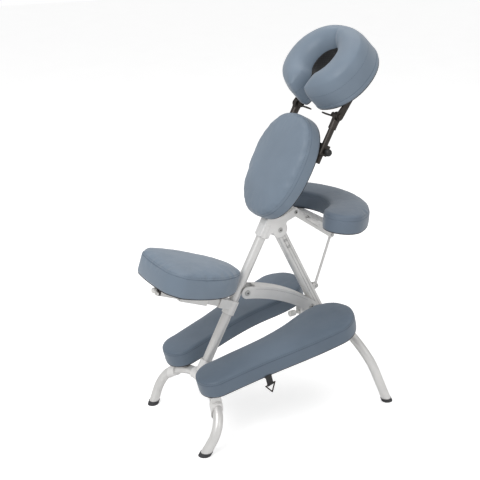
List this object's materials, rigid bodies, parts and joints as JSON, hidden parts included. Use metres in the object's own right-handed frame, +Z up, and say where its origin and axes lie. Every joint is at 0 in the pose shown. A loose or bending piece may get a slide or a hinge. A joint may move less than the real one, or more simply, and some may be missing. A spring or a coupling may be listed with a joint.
{
  "type": "kneeling massage chair",
  "caption": "Folding kneeling massage chair: padded face cradle, chest pad, arm rest, seat and leg rests on an A-shaped aluminium frame with arched legs.",
  "frame": {"origin": "on the floor, on the centre plane, under the middle of the chair's overall length", "axes": "+X the way the seated client faces, +Y the client's left, +Z up"},
  "size_m": [0.7941, 0.4886, 1.2462],
  "materials": {
    "upholstery": "smooth slate-blue vinyl upholstery, soft sheen",
    "leg_upholstery": "smooth slate-blue vinyl upholstery, slightly darker",
    "board": "black-faced plywood",
    "frame_tube": "light satin aluminium",
    "frame_casting": "satin white-silver coated casting",
    "dark_metal": "dark bronze satin",
    "steel": "zinc-plated fastener",
    "knob": "moulded black plastic",
    "light_plastic": "light grey plastic",
    "foot": "dark grey moulded rubber",
    "webbing": "black woven webbing"
  },
  "bodies": {
    "rear_frame": {"rear_leg_arch": "frame_tube", "rear_feet": "foot", "column_foot": "frame_casting", "column_tube": "frame_tube", "column_bolts": "steel", "frame_casting": "frame_casting", "casting_bolts": "steel", "rail_collar": "frame_casting", "seat_rail": "frame_tube", "seat_rail_cap": "light_plastic", "leg_pad_rear_brackets": "frame_casting", "leg_pad_front_saddles": "frame_casting", "leg_pad_screws": "steel", "leg_pad_boards": "board", "left_leg_cushion": "leg_upholstery", "right_leg_cushion": "leg_upholstery", "ring_strap": "webbing", "chest_post": "frame_tube", "rod_receiver": "dark_metal"},
    "front_frame": {"strut_tube": "frame_tube", "strut_head": "frame_casting", "strut_pins": "steel", "strut_foot": "frame_casting", "front_leg_arch": "frame_tube", "front_feet": "foot"},
    "seat_arch": {"seat_arch_left_plate": "frame_tube", "seat_arch_right_plate": "frame_tube", "seat_arch_cover": "frame_tube", "arch_front_bolt": "steel", "plunger_block": "frame_casting"},
    "arch_lock_knob": {"arch_lock_knob": "light_plastic"},
    "seat": {"seat_carriage": "frame_casting", "seat_screws": "steel", "seat_board": "board", "seat_cushion": "upholstery"},
    "seat_lock_knob": {"seat_lock_knob": "knob"},
    "chest": {"chest_carriage": "frame_casting", "chest_screws": "steel", "chest_board": "board", "chest_cushion": "upholstery"},
    "chest_lock_knob": {"chest_lock_knob": "knob"},
    "cradle_rods": {"cradle_rods": "dark_metal", "rod_ends": "dark_metal"},
    "left_rod_knob": {"left_rod_knob": "knob"},
    "right_rod_knob": {"right_rod_knob": "knob"},
    "cradle": {"cradle_arms": "dark_metal", "cradle_pivots": "steel", "cradle_plate": "board", "cradle_screws": "steel", "face_cushion": "upholstery"},
    "left_cam_lever": {"left_cam_lever": "dark_metal"},
    "right_cam_lever": {"right_cam_lever": "dark_metal"},
    "armrest": {"armrest_bar": "frame_tube", "armrest_bracket": "frame_casting", "armrest_fasteners": "steel", "armrest_board": "board", "armrest_cushion": "upholstery"},
    "armrest_link": {"armrest_link": "frame_tube"},
    "strap_ring": {"strap_ring": "dark_metal"}
  },
  "joints": [
    {"name": "front_fold", "type": "hinge", "parent": "rear_frame", "child": "front_frame", "pos_m": [0.0608, 0, 0.618], "axis": [0, 1, 0], "range_deg": [0, 40]},
    {"name": "seat_arch_fold", "type": "hinge", "parent": "rear_frame", "child": "seat_arch", "pos_m": [-0.0648, 0, 0.429], "axis": [0, 1, 0], "range_deg": [0, 76]},
    {"name": "armrest_fold", "type": "hinge", "parent": "rear_frame", "child": "armrest", "pos_m": [0.1192, 0, 0.668], "axis": [0, 1, 0], "range_deg": [0, 46.8]},
    {"name": "link_swing", "type": "hinge", "parent": "armrest", "child": "armrest_link", "pos_m": [0.2742, 0, 0.558], "axis": [0, 1, 0], "range_deg": [-25.8, 0]},
    {"name": "arch_lock_pull", "type": "slide", "parent": "seat_arch", "child": "arch_lock_knob", "axis": [-1, 0, 0], "range_m": [0, 0.008], "stiffness_N_per_m": 600, "springref_m": -0.004},
    {"name": "seat_slide", "type": "slide", "parent": "rear_frame", "child": "seat", "axis": [-0.9272, 0, 0.3746], "range_m": [0, 0.06]},
    {"name": "seat_lock_turn", "type": "hinge", "parent": "seat", "child": "seat_lock_knob", "pos_m": [-0.25306, 0.035, 0.44995], "axis": [0, 1, 0], "continuous": true},
    {"name": "chest_slide", "type": "slide", "parent": "rear_frame", "child": "chest", "axis": [0.4664, 0, 0.8846], "range_m": [-0.025, 0.01]},
    {"name": "chest_lock_turn", "type": "hinge", "parent": "chest", "child": "chest_lock_knob", "pos_m": [0.11067, 0, 0.77059], "axis": [-0.8846, 0, 0.4664], "continuous": true},
    {"name": "cradle_rod_slide", "type": "slide", "parent": "rear_frame", "child": "cradle_rods", "axis": [0.4664, 0, 0.8846], "range_m": [0, 0.025]},
    {"name": "left_rod_knob_turn", "type": "hinge", "parent": "rear_frame", "child": "left_rod_knob", "pos_m": [0.14988, 0.14, 0.88784], "axis": [0, 1, 0], "continuous": true},
    {"name": "right_rod_knob_turn", "type": "hinge", "parent": "rear_frame", "child": "right_rod_knob", "pos_m": [0.14988, -0.14, 0.88784], "axis": [0, 1, 0], "continuous": true},
    {"name": "cradle_tilt", "type": "hinge", "parent": "cradle_rods", "child": "cradle", "pos_m": [0.20305, 0, 0.98868], "axis": [0, 1, 0], "range_deg": [-15, 30]},
    {"name": "left_cam_swing", "type": "hinge", "parent": "cradle", "child": "left_cam_lever", "pos_m": [0.20305, 0.089, 0.98868], "axis": [0.8846, 0, -0.4664], "range_deg": [0, 60]},
    {"name": "right_cam_swing", "type": "hinge", "parent": "cradle", "child": "right_cam_lever", "pos_m": [0.20305, -0.089, 0.98868], "axis": [-0.8846, 0, 0.4664], "range_deg": [0, 60]},
    {"name": "strap_ring_swing", "type": "hinge", "parent": "rear_frame", "child": "strap_ring", "pos_m": [-0.08944, -0.20006, 0.19261], "axis": [0.9681, 0, 0.2504], "range_deg": [-60, 60]}
  ],
  "couplings": [
    {"joint": "seat_arch_fold", "follows": "front_fold", "ratio": 1.9},
    {"joint": "armrest_fold", "follows": "front_fold", "ratio": 1.17},
    {"joint": "link_swing", "follows": "front_fold", "ratio": -0.645}
  ]
}
